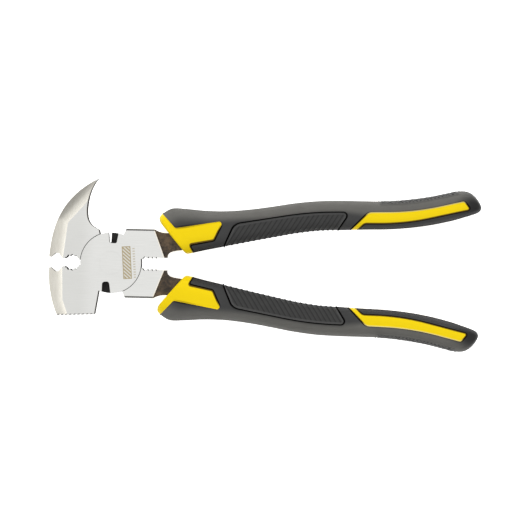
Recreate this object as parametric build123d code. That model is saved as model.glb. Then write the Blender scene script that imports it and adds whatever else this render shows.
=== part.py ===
"""Fencing pliers: a hammer half and a claw half on one flush rivet, with moulded grips.

Frame, in millimetres: the rivet's axis is Z, the tool's centre line is X with the handles
towards +X, and z = 0 is the ground back face of the head. The hammer half carries the front
joint disc and the upper (+Y) handle. The claw half carries the back disc and the lower handle.
"""
import os
from math import cos, pi, radians, sin, sqrt

from build123d import *

# ---- driving dimensions ------------------------------------------------------------------
HEAD_T = 15.0            # thickness over the two ground faces
MID_Z = HEAD_T / 2       # the lap plane between the two halves
DISC_R = 18.65           # radius of the joint discs
LAP_GAP = 0.04           # running gap between the lap faces
RIM_GAP = 0.35           # gap between a disc's rim and the other half's step

RIVET_R = 5.0            # rivet shank
RIVET_HEAD_R = 7.0       # countersunk ends, ground flush
RIVET_HEAD_H = 2.6
RIVET_GAP = 0.04         # radial running clearance in the half that turns

CLAW_JAW_ANGLE = 4.3     # the claw's jaw face stands this far above the centre line, degrees
HAMMER_JAW_ANGLE = 5.6   # the hammer's jaw face stands this far below it
JAW_NOSE_R = 38.4        # from the pivot to the jaws' front edge
JAW_ROOT_ANGLE = 112.7   # where the claw and the hammer leave the disc, degrees

CLAW_TIP = (-9.0, 51.6)
HAMMER_TOE = (-32.6, -32.9)   # ends of the milled striking face
HAMMER_HEEL = (-9.5, -31.9)
MILL_PITCH = 2.45        # the striking face is milled in squares this size
MILL_DEPTH = 0.8
MILL_LAND = 0.62         # share of the pitch left standing

BLOCK_TOP = 21.2         # half height of the ground block behind the joint
BLOCK_BACK_X = 26.2      # its far top corner
BLOCK_FOOT_X = 32.8      # where its slanted back edge reaches the rear jaw
BLOCK_ANGLE = 66.8       # where the block leaves the disc, degrees
REAR_JAW_Y = 3.85        # from the centre line to a rear wire jaw
REAR_JAW_END = 34.4

NECK_T = 12.0            # forged neck, left black
TANG_T = 7.0             # tang inside the grip
TANG_WALL = 2.0          # moulded core round the tang

COVE_W = 9.5             # hollow ground band round the nose
COVE_DEPTH = 5.2         # how far below the face its outer edge lies
COVE_R = 20.0            # radius of the grinding wheel
CLAW_POINT_T = 6.0       # thickness left at the claw's tip
BLOCK_BEVEL = 1.1        # bevel along the block's top edges

GRIP_ROUND = 0.34        # corner radius of the grip's section, as a share of its width
GRIP_TAIL_X = 227.0
PAD_DEPTH = 2.4          # the finger pad is let this deep into the grip
STRIP_DEPTH = 1.6

JOIN_TOL = 1e-4          # ends closer than this count as meeting
OVERLAP = 3.0            # how far joined shapes and cutters run past each other
CUT_LENGTH = 80.0        # length of a cutter that passes right through the tool

# Where the grip runs: x, inner edge, outer edge, thickness.
GRIP_STATIONS = [
    (24, 1.5, 34.7, 21.0),
    (40, 5.5, 34.7, 20.0),
    (52, 7.9, 33.7, 18.6),
    (66, 11.0, 33.4, 17.4),
    (80, 14.1, 34.4, 16.8),
    (100, 18.4, 37.4, 16.4),
    (120, 22.1, 40.4, 16.4),
    (140, 23.7, 41.7, 16.4),
    (160, 24.5, 41.8, 16.4),
    (180, 25.6, 42.8, 16.6),
    (200, 28.8, 46.2, 17.0),
    (215, 32.8, 50.0, 17.2),
    (232, 38.7, 55.0, 17.2),
]

# Where the tang runs inside the grip: x, centre, width.
TANG_STATIONS = [
    (46, 15.4, 11.6),
    (60, 20.5, 9.0),
    (80, 24.2, 8.0),
    (110, 29.6, 7.6),
    (140, 32.7, 7.2),
    (170, 33.6, 7.0),
    (204, 38.9, 6.8),
]


# ---- small drawing helpers -----------------------------------------------------------------
def polar(radius, angle):
    """A point at this radius and angle in degrees about the pivot."""
    return (radius * cos(radians(angle)), radius * sin(radians(angle)))


def outline_face(*runs):
    """A face bounded by these lines and curves in turn, joined by lines where they don't meet."""
    edges = []
    for run, following in zip(runs, runs[1:] + runs[:1]):
        edges += run.edges()
        if (run @ 1 - following @ 0).length > JOIN_TOL:
            edges += Line(run @ 1, following @ 0).edges()
    return make_face(edges)


def rounded_polygon(*corners):
    """A polygon from (x, y, radius) corners. A radius of 0 leaves the corner sharp."""
    runs = []
    for i, (x, y, radius) in enumerate(corners):
        here = Vector(x, y)
        back = (Vector(*corners[i - 1][:2]) - here).normalized()
        ahead = (Vector(*corners[(i + 1) % len(corners)][:2]) - here).normalized()
        if radius == 0:
            runs.append([here])
            continue
        half_angle = radians(back.get_angle(ahead)) / 2
        reach = radius / sin(half_angle) * cos(half_angle)
        middle = here + (back + ahead).normalized() * (radius / sin(half_angle) - radius)
        runs.append([here + back * reach, middle, here + ahead * reach])
    edges = []
    for run, following in zip(runs, runs[1:] + runs[:1]):
        if len(run) == 3:
            edges.append(ThreePointArc(*run))
        edges.append(Line(run[-1], following[0]))
    return make_face(edges)


def slab(face, low, high):
    """The face as a plate between two heights."""
    return Pos(0, 0, low) * extrude(face, amount=high - low)


def through(face):
    """The face as a cutter that runs right through the tool."""
    return slab(face, MID_Z - CUT_LENGTH / 2, MID_Z + CUT_LENGTH / 2)


def both_faces(tool):
    """A tool for the front face together with its mirror image for the back face."""
    return tool + mirror(tool, about=Plane.XY.offset(MID_Z))


def other_side(solid):
    """The mirror image across the centre line."""
    return mirror(solid, about=Plane.XZ)


# ---- jaws ----------------------------------------------------------------------------------
def jaw_edge(angle, into_side):
    """Points along a jaw face from the nose to the disc: a wire notch, then a toothed recess.

    into_side is +1 where the jaw lies above its face and -1 where it lies below.
    """
    notch = [(37.1, 0.0), (34.5, 2.7), (32.4, 2.7), (30.0, 0.0)]
    recess_nose, recess_root, recess_depth = 28.2, 19.5, 3.1
    tooth_height, teeth = 1.1, 5
    middle = (recess_nose + recess_root) / 2
    reach = (recess_nose - recess_root) / 2
    recess = [(recess_nose, 0.0)]
    for i in range(teeth):
        valley = pi * (i + 0.5) / teeth
        recess.append((middle + reach * cos(valley), recess_depth * sin(valley)))
        if i < teeth - 1:
            tip = pi * (i + 0.9) / teeth
            depth = recess_depth * sin(tip) - tooth_height
            recess.append((middle + reach * cos(tip), depth))
    profile = [(JAW_NOSE_R, 0.0), *notch, *recess, (recess_root, 0.0), (DISC_R - OVERLAP, 0.0)]
    along = Vector(*polar(1, 180 - angle))
    into = Vector(along.Y, -along.X) * into_side
    return [along * r + into * depth for r, depth in profile]


def claw_face():
    """The claw's plan: outer curve to the tip, inner curve, root, jaw face."""
    jaw = jaw_edge(CLAW_JAW_ANGLE, 1)
    heel = (-7.9, 20.2)
    outer = Spline(jaw[0], (-37.1, 13.2), (-33.4, 26.2), (-26.3, 38.1), (-17.4, 46.4), CLAW_TIP)
    inner = Spline(CLAW_TIP, (-12.8, 45.2), (-15.1, 36.9), (-15.5, 31.2), (-14.0, 24.9),
                   (-10.9, 21.8), heel)
    root = Line(polar(DISC_R, JAW_ROOT_ANGLE), polar(DISC_R - OVERLAP, JAW_ROOT_ANGLE))
    return outline_face(outer, inner, root, Polyline(*reversed(jaw)))


def hammer_face():
    """The hammer's plan: outer curve, milled striking face, root, jaw face."""
    jaw = jaw_edge(-HAMMER_JAW_ANGLE, -1)
    toe, heel = Vector(*HAMMER_TOE), Vector(*HAMMER_HEEL)
    outer = Spline(jaw[0], (-38.0, -12.0), (-36.9, -19.6), (-35.2, -26.2), toe)
    count = round((heel - toe).length / MILL_PITCH)
    step = (heel - toe) / count
    depth = Vector(-step.Y, step.X).normalized() * MILL_DEPTH
    teeth = [toe]
    for i in range(count):
        start = toe + step * i
        valley = start + step * (1 + MILL_LAND) / 2 + depth
        teeth += [start + step * MILL_LAND, valley, start + step]
    root = Line(polar(DISC_R, -JAW_ROOT_ANGLE), polar(DISC_R - OVERLAP, -JAW_ROOT_ANGLE))
    return outline_face(outer, Polyline(*teeth), root, Polyline(*reversed(jaw)))


def face_grooves():
    """Grooves along the striking face, across the ones in its plan, so it is milled in squares."""
    toe, heel = Vector(*HAMMER_TOE), Vector(*HAMMER_HEEL)
    along = (heel - toe).normalized()
    outward = Vector(along.Y, -along.X)
    clear = 0.2
    half = MILL_PITCH * (1 - MILL_LAND) / 2 * (1 + clear / MILL_DEPTH)
    section = make_face(Polyline((-MILL_DEPTH, 0), (clear, half), (clear, -half), close=True))
    length = (heel - toe).length + 2 * OVERLAP
    count = round(HEAD_T / MILL_PITCH)
    grooves = []
    for i in range(1, count):
        start = Vector(toe.X, toe.Y, HEAD_T * i / count) - along * OVERLAP
        at = Plane(start, x_dir=outward, z_dir=along)
        grooves.append(extrude(at * section, amount=length))
    return grooves


def cove_tool(ridge):
    """What the hollow grind takes off the front face on the left of a ridge line.

    Each straight run of the ridge is a prism of one profile. Each bend, always to the right,
    is the same profile turned about the bend.
    """
    floor_w = 14.0
    reach = COVE_W + floor_w
    profile = outline_face(
        RadiusArc((0, 0), (COVE_W, -COVE_DEPTH), -COVE_R),
        Polyline((reach, -COVE_DEPTH), (reach, OVERLAP), (0, OVERLAP)),
    )
    pieces = []
    for i, (start, end) in enumerate(zip(ridge, ridge[1:])):
        start, end = Vector(*start, HEAD_T), Vector(*end, HEAD_T)
        run = end - start
        section = Plane(start, x_dir=(-run.Y, run.X, 0), z_dir=run) * profile
        pieces.append(extrude(section, amount=run.length))
        if i > 0:
            before = start - Vector(*ridge[i - 1], HEAD_T)
            bend = before.get_angle(run)
            arm = Plane(start, x_dir=(-before.Y, before.X, 0), z_dir=before) * profile
            pieces.append(revolve(arm, Axis(start, (0, 0, -1)), revolution_arc=bend))
    return pieces[0] + pieces[1:]


def claw_point_tool():
    """Thins the claw's tip in a long round relief on the front face."""
    length, drop = 21.0, (HEAD_T - CLAW_POINT_T) / 2
    radius = (length**2 + drop**2) / (2 * drop)
    heading = Vector(0.47, 0.88).normalized()
    start = Vector(*CLAW_TIP, HEAD_T) - heading * length
    middle = length / 2
    middle_drop = radius - sqrt(radius**2 - middle**2)
    profile = outline_face(
        ThreePointArc((0, 0), (middle, -middle_drop), (length, -drop)),
        Polyline((length + OVERLAP, -drop), (length + OVERLAP, OVERLAP), (0, OVERLAP)),
    )
    side = Plane(start, x_dir=heading, z_dir=heading.cross(Vector(0, 0, 1)))
    return extrude(side * profile, amount=CUT_LENGTH, both=True)


# ---- lever side, drawn for the +Y handle -----------------------------------------------------
def block_face():
    """The ground block behind the joint, with its toothed rear wire jaw."""
    tooth_pitch, count = 2.46, 4
    valley_y, tip_y = REAR_JAW_Y + 0.5, REAR_JAW_Y - 0.5
    slot_y, slot_end, first = REAR_JAW_Y - 1.0, 19.2, 20.6
    teeth = [(DISC_R - OVERLAP, slot_y), (slot_end, slot_y), (first, valley_y)]
    for i in range(1, count):
        x = first + tooth_pitch * i
        teeth += [(x - 0.9, tip_y), (x - 0.4, tip_y), (x, valley_y)]
    teeth.append((x + 0.5, REAR_JAW_Y))
    slope = radians(BLOCK_ANGLE)
    corner = (BLOCK_TOP * cos(slope) / sin(slope), BLOCK_TOP)
    far = (BLOCK_BACK_X, BLOCK_TOP)
    inside = polar(DISC_R - OVERLAP, BLOCK_ANGLE)
    return make_face(Polyline(inside, corner, far, (BLOCK_FOOT_X, REAR_JAW_Y),
                              *reversed(teeth), close=True))


def tang_face(grow=0.0):
    """The tang's plan, a bar down the middle of the grip, with this much added all round."""
    outer = [(x, centre + width / 2 + grow) for x, centre, width in TANG_STATIONS]
    inner = [(x, centre - width / 2 - grow) for x, centre, width in reversed(TANG_STATIONS)]
    end_x = TANG_STATIONS[-1][0] + grow
    end = Line((end_x, outer[-1][1]), (end_x, inner[0][1]))
    return outline_face(Spline(*outer), end, Spline(*inner))


def neck_face():
    """The neck's plan, from inside the block to the start of the tang."""
    x, centre, width = TANG_STATIONS[0]
    top = (x, centre + width / 2)
    bottom = (x, centre - width / 2)
    outer = Spline((BLOCK_BACK_X, BLOCK_TOP), (28.4, 20.1), (31.0, 19.3), (36.0, 19.2), top)
    inner = Spline(bottom, (42.4, 8.7), (37.9, 8.0), (35.3, 6.7), (REAR_JAW_END, REAR_JAW_Y))
    return outline_face(outer, inner, Polyline((30, REAR_JAW_Y), (24, BLOCK_TOP - 1)))


def bar_side(grow=0.0):
    """A plate that holds the neck and tang to their thickness, tapering between them."""
    taper = [(20, NECK_T), (44, NECK_T), (74, TANG_T), (215, TANG_T)]
    front = [(x, MID_Z + thickness / 2 + grow) for x, thickness in taper]
    back = [(x, MID_Z - thickness / 2 - grow) for x, thickness in reversed(taper)]
    side = make_face(Polyline(*front, *back, close=True))
    return extrude(Plane.XZ * side, amount=CUT_LENGTH, both=True)


def lever():
    """Block, neck and tang, before the joint is cut. The block's top edges are bevelled."""
    block = slab(block_face(), 0, HEAD_T)
    top = block.edges().filter_by(Axis.X).sort_by(Axis.Y)[-2:]
    block = chamfer(top, BLOCK_BEVEL)
    bar = (through(neck_face()) + through(tang_face())) & bar_side()
    return block + bar


# ---- joint -----------------------------------------------------------------------------------
def disc(radius, low, high):
    """A round plate on the pivot axis."""
    return slab(Circle(radius).face(), low, high)


def rivet(grow=0.0):
    """The rivet: a shank with two countersunk ends, flush with the ground faces."""
    end = Cone(RIVET_R + grow, RIVET_HEAD_R + grow, RIVET_HEAD_H)
    end = Pos(0, 0, HEAD_T - RIVET_HEAD_H / 2) * end
    return disc(RIVET_R + grow, 0, HEAD_T) + both_faces(end)


def wire_notch(rim, root, rim_width, root_width, corner):
    """A round-bottomed notch cut into a disc, narrowing from its rim to its root."""
    rim, root = Vector(*rim), Vector(*root)
    inward = (root - rim).normalized()
    side = Vector(-inward.Y, inward.X)
    flare = (rim_width - root_width) / (root - rim).length
    outer = rim - inward * OVERLAP
    outer_half, root_half = (rim_width + flare * OVERLAP) / 2, root_width / 2
    ends = [outer + side * outer_half, root + side * root_half,
            root - side * root_half, outer - side * outer_half]
    radii = [0, corner, corner, 0]
    return through(rounded_polygon(*[(p.X, p.Y, r) for p, r in zip(ends, radii)]))


def hammer_notches():
    """The front disc's two shear notches."""
    handle_side = wire_notch((1.3, 18.6), (1.1, 12.1), rim_width=6.2, root_width=4.4, corner=1.2)
    jaw_side = wire_notch((-2.5, -18.6), (-2.9, -11.6), rim_width=5.4, root_width=4.2, corner=1.7)
    return handle_side + jaw_side


def claw_notches():
    """The back disc's two, which the front disc's shear across as the handles close."""
    handle_side = wire_notch((3.1, -18.6), (2.9, -12.1), rim_width=5.0, root_width=4.4, corner=1.2)
    jaw_side = wire_notch((-2.9, 18.6), (-2.6, 11.6), rim_width=5.4, root_width=4.4, corner=1.6)
    return handle_side + jaw_side


# ---- steel pieces ------------------------------------------------------------------------------
def hammer_half():
    """Hammer jaw, front disc and upper handle."""
    ridge = [(-24.1, -37.0), (-29.0, -23.2), (-29.8, 3.0)]
    half = slab(hammer_face(), 0, HEAD_T) - both_faces(cove_tool(ridge))
    half += disc(DISC_R, MID_Z, HEAD_T) + lever()
    half -= disc(DISC_R + RIM_GAP, -1, MID_Z + LAP_GAP / 2)
    half -= hammer_notches()
    half -= face_grooves()
    return half - rivet(RIVET_GAP)


def claw_half():
    """Claw jaw, back disc and lower handle."""
    ridge = [(-30.0, -3.0), (-26.8, 23.8), (-5.0, 48.9)]
    half = slab(claw_face(), 0, HEAD_T) - both_faces(cove_tool(ridge))
    half -= both_faces(claw_point_tool())
    half += disc(DISC_R, 0, MID_Z) + other_side(lever())
    half -= disc(DISC_R + RIM_GAP, MID_Z - LAP_GAP / 2, HEAD_T + 1)
    half -= claw_notches()
    return half - rivet()


# ---- grips, drawn for the +Y handle ------------------------------------------------------------
def grip_form(inset=0.0):
    """The whole moulded grip before it is trimmed at its ends, drawn in by the inset."""
    sections = []
    for x, inner, outer, thickness in GRIP_STATIONS:
        width = outer - inner
        section = RectangleRounded(width - 2 * inset, thickness - 2 * inset,
                                   GRIP_ROUND * min(width, thickness) - inset)
        at = Plane((x, (inner + outer) / 2, MID_Z), x_dir=(0, 1, 0), z_dir=(1, 0, 0))
        sections.append(at * section)
    return loft(sections)


def grip_plan():
    """The grip's plan limits: slanted nose with a rounded guard, and a rounded tail."""
    guard = Spline((28.9, 25.2), (28.6, 27.8), (31.0, 31.0), (34.6, 33.7), (39.5, 34.7))
    nose = Line((45.0, 7.2), (28.9, 25.2))
    heel = ThreePointArc((48.6, 6.8), (46.6, 6.4), (45.0, 7.2))
    tail = Spline((212.0, 49.4), (217.3, 49.3), (222.2, 46.9), (225.6, 42.4), (226.7, 38.8),
                  (225.0, 36.5))
    far = Polyline((222.5, 35.7), (222.5, 20.0), (60.0, 0.0), (48.6, 6.8))
    near = Polyline((39.5, 34.7), (60.0, 50.0), (200.0, 60.0), (212.0, 49.4))
    return outline_face(guard, near, tail, far, heel, nose)


def grip_solid():
    """The grip with its ends trimmed and its nose and tail rounded over in thickness."""
    nose_x = 27.0
    side = rounded_polygon((nose_x, MID_Z - 10.6, 3), (GRIP_TAIL_X, MID_Z - 8.6, 5),
                           (GRIP_TAIL_X, MID_Z + 8.6, 5), (nose_x, MID_Z + 10.6, 3))
    side_plate = extrude(Plane.XZ * side, amount=CUT_LENGTH, both=True)
    return grip_form() & through(grip_plan()) & side_plate


def flag_face():
    """The yellow nose and side flag."""
    return rounded_polygon((26.2, 36.0, 0), (39.1, 22.2, 1.6), (68.4, 27.3, 1.5),
                           (62.9, 15.4, 1.8), (47.8, 12.3, 1.2), (52.3, 4.5, 0), (20, 4.5, 0))


def window_face():
    """The yellow window that runs from the inner edge out along the tail."""
    return rounded_polygon((143.9, 21.2, 0), (157.4, 34.9, 5), (185.5, 35.7, 160),
                           (215.8, 43.1, 2), (220.0, 38.1, 1.2), (179.4, 28.4, 150),
                           (155.1, 28.0, 3.5), (147.9, 21.2, 0))


def pad_face():
    """The finger pad, from its groove down past the grip's inner edge."""
    return rounded_polygon((67.5, 8.0, 0), (75.4, 25.8, 7), (121.5, 34.1, 200),
                           (145.8, 34.7, 2.2), (136.8, 20.4, 0))


def strip_face():
    """The textured palm strip along the outer edge near the tail."""
    inner = Spline((164.0, 39.6), (180.0, 40.5), (198.0, 43.5), (212.0, 47.0))
    return outline_face(inner, Polyline((213.5, 54.0), (163.0, 54.0)))


def grip_pieces(steel):
    """The four moulded pieces of one grip, fitted round the steel."""
    whole = grip_solid() - steel
    sleeve = through(tang_face(TANG_WALL)) & bar_side(TANG_WALL)
    yellow = through(flag_face()) + through(window_face())
    core = whole & (sleeve + yellow)
    skin = whole - core
    pad = (skin & through(pad_face())) - grip_form(PAD_DEPTH)
    strip = (skin & through(strip_face())) - grip_form(STRIP_DEPTH)
    return {"grip_core": core, "grip_body": skin - pad - strip,
            "finger_pad": pad, "palm_strip": strip}


# ---- the set -----------------------------------------------------------------------------------
def all_pieces():
    """Every piece of the tool by name, in its assembled place."""
    pieces = {"hammer_half": hammer_half(), "claw_half": claw_half(), "pivot_rivet": rivet()}
    for name, piece in grip_pieces(lever()).items():
        pieces["upper_" + name] = piece
        pieces["lower_" + name] = other_side(piece)
    return pieces


os.makedirs("parts", exist_ok=True)
for name, piece in all_pieces().items():
    export_step(piece, f"parts/{name}.step")
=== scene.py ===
"""Looks for the fencing pliers: ground steel halves, and moulded grips round the CAD frame."""
import math

import bmesh
import bpy
import numpy as np
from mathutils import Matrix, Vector
from mathutils.geometry import delaunay_2d_cdt


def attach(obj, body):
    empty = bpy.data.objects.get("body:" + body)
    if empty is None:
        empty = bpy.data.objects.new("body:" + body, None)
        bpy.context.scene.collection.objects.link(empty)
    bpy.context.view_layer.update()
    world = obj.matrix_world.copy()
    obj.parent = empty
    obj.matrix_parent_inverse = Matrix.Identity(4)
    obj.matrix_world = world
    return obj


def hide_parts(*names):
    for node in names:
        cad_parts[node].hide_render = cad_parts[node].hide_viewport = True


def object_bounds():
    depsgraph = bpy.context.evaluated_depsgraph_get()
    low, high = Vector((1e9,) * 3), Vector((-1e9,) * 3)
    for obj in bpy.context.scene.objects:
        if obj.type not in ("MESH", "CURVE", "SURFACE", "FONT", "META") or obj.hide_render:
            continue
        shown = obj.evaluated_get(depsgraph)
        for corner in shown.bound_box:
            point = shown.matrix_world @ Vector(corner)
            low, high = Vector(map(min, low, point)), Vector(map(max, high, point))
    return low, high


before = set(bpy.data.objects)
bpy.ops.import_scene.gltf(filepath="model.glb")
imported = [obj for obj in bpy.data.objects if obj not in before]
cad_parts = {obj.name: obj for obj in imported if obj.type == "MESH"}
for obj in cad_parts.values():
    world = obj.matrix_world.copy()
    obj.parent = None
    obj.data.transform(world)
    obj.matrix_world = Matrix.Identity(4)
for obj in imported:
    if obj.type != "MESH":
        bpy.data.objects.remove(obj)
CAD_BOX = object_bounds()

MM = 0.001
HEAD_T = 15.0                     # head thickness, mm
MID_Z = HEAD_T / 2
CAMERA_CENTRE = (94.6, 1.0)       # the point under the camera, mm
CAMERA_HEIGHT = 1650.0
CAMERA_ROLL = math.radians(1.43)
CAMERA_SENSOR = 36.0              # sensor width, mm
CAMERA_REACH = 10.0               # how far it sees, m
FIELD_WIDTH = 326.5               # width seen at the tool's middle height, mm
FLOOR_GAP = 0.3                   # clearance between the grips and the floor, mm
FLOOR_REACH = 3.0                 # half the floor's side, m
FLOOR_GLOW = 0.8                  # the floor is a light table
ROOM_LIGHT = 0.92
SIDE_SHARE = 0.3                  # brightness of the low sides, the corner and the end,
CORNER_SHARE = 0.42               # as shares of the room's
END_SHARE = 1.25
DIM_CORNER = (-0.435, 0.435, 0.788)  # the way to the room's dim corner
CORNER_FADE = (0.88, 0.99)        # how nearly a direction must point there
OVERHEAD = ((95, 250, 1500), (1500, 1500), 1.8)   # each light's place and size in mm, and power
SIDE_UP = ((95, 900, 600), (900, 600), 6.0)

GRIP_STATIONS = [                 # inner edge x, y, outer edge x, y, thickness
    (45.4, 7.0, 28.9, 26.4, 20.4),
    (47.0, 6.7, 29.2, 29.2, 20.3),
    (49.5, 7.2, 32.0, 31.9, 20.0),
    (53.5, 8.2, 37.2, 34.5, 19.5),
    (59.0, 9.5, 46.0, 34.3, 18.7),
    (66.0, 11.0, 58.0, 33.5, 17.8),
    (75.0, 13.0, 71.0, 33.6, 17.1),
    (87.0, 15.6, 85.0, 35.0, 16.7),
    (100.0, 18.3, 98.5, 37.1, 16.4),
    (114.0, 21.1, 113.0, 39.6, 16.4),
    (128.0, 23.0, 127.5, 41.2, 16.4),
    (142.0, 23.7, 142.0, 41.7, 16.4),
    (156.0, 24.3, 156.0, 41.8, 16.4),
    (170.0, 24.8, 170.0, 42.0, 16.5),
    (184.0, 26.1, 183.0, 43.3, 16.7),
    (197.0, 28.2, 195.0, 45.2, 16.9),
    (209.0, 31.0, 205.5, 47.6, 17.1),
    (216.5, 33.3, 213.5, 49.4, 17.2),
    (221.6, 35.0, 218.8, 48.9, 17.2),
    (224.6, 36.2, 222.6, 46.4, 17.2),
    (226.1, 37.3, 225.1, 43.3, 17.2),
    (226.6, 38.4, 226.2, 41.2, 17.2),
    (226.7, 39.2, 226.6, 39.9, 17.2),
]
STATION_SAMPLES = 3000            # points that the grip's length is measured over,
SECTION_SAMPLES = 2001            # and the way round a section
NOSE_ROUND = 1.1                  # rounding of the nose rim, mm
TAIL_ROUND = 5.0                  # rounding of the tail in thickness
TAIL_ZONE = 6.0                   # length of the tail that has its own mesh rows
SECTION_POWER = 2.7               # superellipse power of the grip's section
SECTION_HALF = (9.0, 8.2)         # a typical section's half width and half height
HALF_ROUND = 27.0                 # half of the way round a section, mm
CAP = 10.0                        # length of the end caps in the unrolled grip
TAIL_CAP = 1.0
CAP_ROWS = 8                      # mesh rows over the nose's end face, its rim and the tail
NOSE_ROWS = 6
TAIL_ROWS = 14
STEP = 0.62                       # mesh spacing
SEAM_STEP = 0.5
SHELL = 0.25                      # overmould depth, as a share of the way to the middle
SHELL_END = 7.0                   # the middle line stops this far from the grip's ends
SEAM_RINGS = (0.10, 0.24, 0.45, 0.8)
SEAM_CLEAR = 1.05                 # the plain grid keeps this far from the seams
RIM_CLEAR = 0.35                  # and its outer rows this far
RING_SHARE = 0.93                 # a ring point nearer a seam than this share is dropped
SILHOUETTE_SAMPLES = 800

EDGE_ROUND = 0.35                 # rounded edge along a seam, mm
PAD_EDGE_ROUND = 0.6
SEAM_FADE = 0.5                   # reach of the shading beside a seam
PAD_PROUD = 0.1
RIB_PITCH = 2.9                   # finger pad ribs
RIB_LEAN = 0.63
RIB_SHIFT = 0.65
RIB_GROOVE = 0.38
RIB_DEPTH = 0.42
RIB_MARGIN = 1.0                  # plain border round the ribs, and the ribs' run-out
RIB_FADE = 1.2
CUT_PITCH = 2.2                   # palm strip cross cuts
CUT_DEPTH = 0.4
CUT_MARGIN = 0.5
CUT_FADE = 1.0
CUT_FLANK = 1.6                   # steepness of a cut's sides
WELD_GAP = 0.004                  # closer points are one point, mm
THIN_FACE = 0.002
SHARP_ANGLE = math.radians(50)

DISC_R = 18.65                    # the joint discs, and the gap round their rims
RIM_GAP = 0.35
BLOCK_BACK = (26.2, 21.2)         # a point on the block's slanted back edge, and its normal
BLOCK_NORMAL = (0.935, 0.3556)
MILL_LINE = (-31.49, 0.0433)      # the hammer's striking face: y at x = 0, and slope
MILL_STEP = 2.567                 # its teeth, counted along x from the toe
MILL_TOE_X = -32.6

PANEL_CENTRE = (9.85, 0.35)       # etched badge on the front disc
PANEL_SIZE = (5.3, 20.0)
PANEL_TURN = math.radians(4.3)
PANEL_LINE = 0.5                  # width of its border line
HATCH_PITCH = 2.2
DASH_OFFSET = 4.5                 # a row of plain dashes beside it
DASH_PITCH = 1.6
DASH_HALF = 0.7                   # half a dash's length

UNROLL_GRID = (1.5, 60)           # first guesses at a plan point's place: spacing, and rows
UNROLL_STEPS = 12                 # Newton steps that close in on it
UNROLL_NUDGE = 0.02               # the difference each one measures slopes over
CHUNK = 4000                      # points measured at a time

# Ranges that the grips' masks fade over. Three of a point's values are shares: "around" is 0 on
# the grip's inner edge and 1 on its outer edge, and "seam" and "pad_seam" are 1 on a seam and fade
# away from it.
PALM_TRIM = (0.46, 0.6)           # around: the painted shade along the finger side's seams gives way here
TRIM_LINE = (0.25, 0.5)           # seam: the painted shade and painted highlight along the yellow's edge
WINDOW_FROM = (130.0, 150.0)      # x in mm, behind which the yellow is the tail window
PALM_SIDE = (0.57, 0.73)          # around: where the side with painted light begins
PALM_WIDER = ((70.0, 105.0, 0.08), (140.0, 165.0, 0.09))   # x from, x to, by how much
PALM_ENDS = (226.0, 212.0)        # x where the painted light on the pale side ends
HEEL_DARK = (206.0, 222.0)        # x of the dark inner side of the tail
HEEL_SIDE = (0.75, 0.5)           # around
FINGER_SIDE = (0.62, 0.5)         # around
INNER_EDGE = (0.2, 0.06)          # around: the painted shade along the inner edge
SEAM_LINE = (0.18, 0.4)           # seam: the painted shade beside the finger side's seams
PAD_BORDER = (0.42, 0.6)          # pad_seam: the painted shade in the groove where body and pad meet
PAD_LIP_SHEEN = (0.03, 0.12)         # pad_seam: the painted highlight on the pad's lip
RIB_END = (0.14, 0.04)            # pad_seam: the painted shade in the ribs' grooves ends here
RIB_LINE = (0.2, 0.04)            # distance from a rib groove's middle, in pitches
CUT_DARK = (0.1, 0.6)             # depth in a cross cut, as a share, over which its painted shade darkens
OFF_MIDDLE = (0.25, 0.40)         # how far round from the front's middle the shine ends

# Ranges that the steel's masks fade over, in mm. Slope is 1 on level faces, 0 on upright ones.
WALL = (0.45, 0.2)                # slope
LEVEL = (0.9, 0.95)               # slope
LAP_SLOPE = (0.5, 0.8)            # slope
LAP_NEAR = (0.6, 0.3)             # distance from the lap plane
NOSE_GREY = (-9.0, -20.0)         # x: the ground face greys towards the nose
NOSE_SLOPE = (0.2, 0.3)           # slope
NOSE_SUNK = (0.02, 0.12)          # depth below the ground face where the hollow band starts
NOSE_FACING = (0.02, -0.05)       # x of the face's direction
MILL_REACH = (1.2, 1.0)           # distance from the striking face
TOOTH_VALLEY = (0.56, 0.64)       # share of a striking face tooth's step
TOOTH_RISE = (0.62, 0.52)         # share of its step
TOOTH_SLANT = 0.9                 # rise of a tooth's slanted edge over one step
TOOTH_STROKE = (0.42, 0.3)        # distance from that edge
NECK_FROM = (0.02, 0.08)          # distance behind the block's back edge
BACK_EDGE = (-0.55, -0.45)        # and in front of it, for its painted highlight
HALF_SLOPE = 0.707                # slope of a 45 degree face
BEVEL_SLOPE = (0.1, 0.05)         # how far from that a bevel's slope may be
BEVEL_BAND = (1.4, 1.2)           # distance below the block's top edge
BEVEL_FROM = (4.0, 5.0)           # x where the block's bevels begin
REAR_JAWS = (7.4, 7.0)            # distance from the centre line
WEAR_AND_GLINT_BEND = (0.94, 0.78)          # agreement of the true and the softened normal
WEAR_AND_GLINT_RADIUS = 0.18                # reach of the edge wear and its painted glint, and of the edges' soft shading
SOFT_EDGE = 0.15
OXIDE_PATCH = (0.35, 0.68)        # share of the noise that the brown patches show in

RUBBER_SHINE = 0.35               # specular levels
YELLOW_SHINE = 0.12
STEEL_SHINE = 0.4
YELLOW_ROUGH = (0.38, 0.52)       # roughness from the smoothest grain to the coarsest
BODY_ROUGH = (0.5, 0.64)
PAD_ROUGH = (0.5, 0.66)
STRIP_ROUGH = (0.5, 0.65)
STEEL_ROUGH = (0.30, 0.44)

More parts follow.
